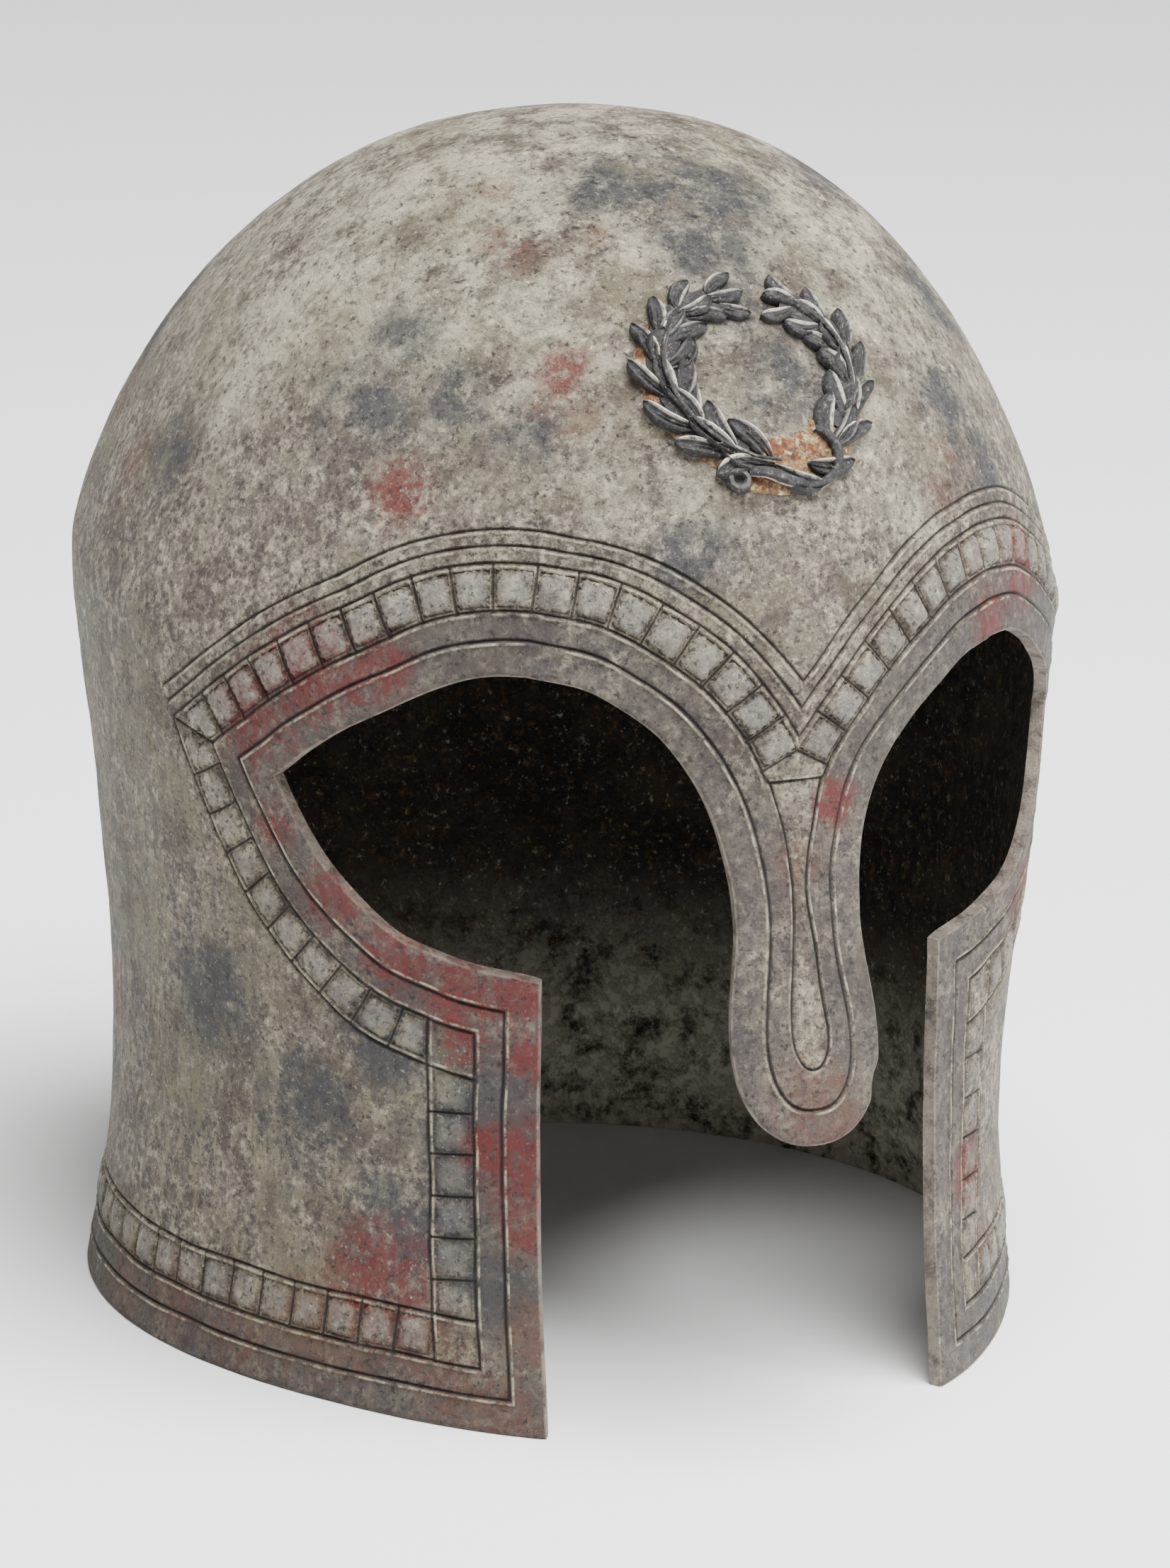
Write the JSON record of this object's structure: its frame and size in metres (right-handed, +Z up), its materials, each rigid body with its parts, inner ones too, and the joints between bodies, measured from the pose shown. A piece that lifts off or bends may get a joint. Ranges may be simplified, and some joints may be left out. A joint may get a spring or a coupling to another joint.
{
  "type": "greek helmet",
  "caption": "Open-faced ancient Greek bronze helmet with eye openings, a nasal and long cheek pieces, and a small laurel wreath on the forehead.",
  "frame": {"origin": "centre of the bounding box on the ground, at the level of the rim that the helmet stands on", "axes": "+Z up from the rim to the crown, -Y out of the face, +X towards the helmet's own left cheek"},
  "size_m": [0.1998, 0.2436, 0.2476],
  "materials": {
    "patinated_bronze": "matt grey-brown patina with cream and red-brown mottling",
    "dark_cast_bronze": "dark matt cast patina with worn light edges"
  },
  "bodies": {
    "root": {"helmet_shell": "patinated_bronze", "laurel_wreath": "dark_cast_bronze"}
  },
  "joints": []
}
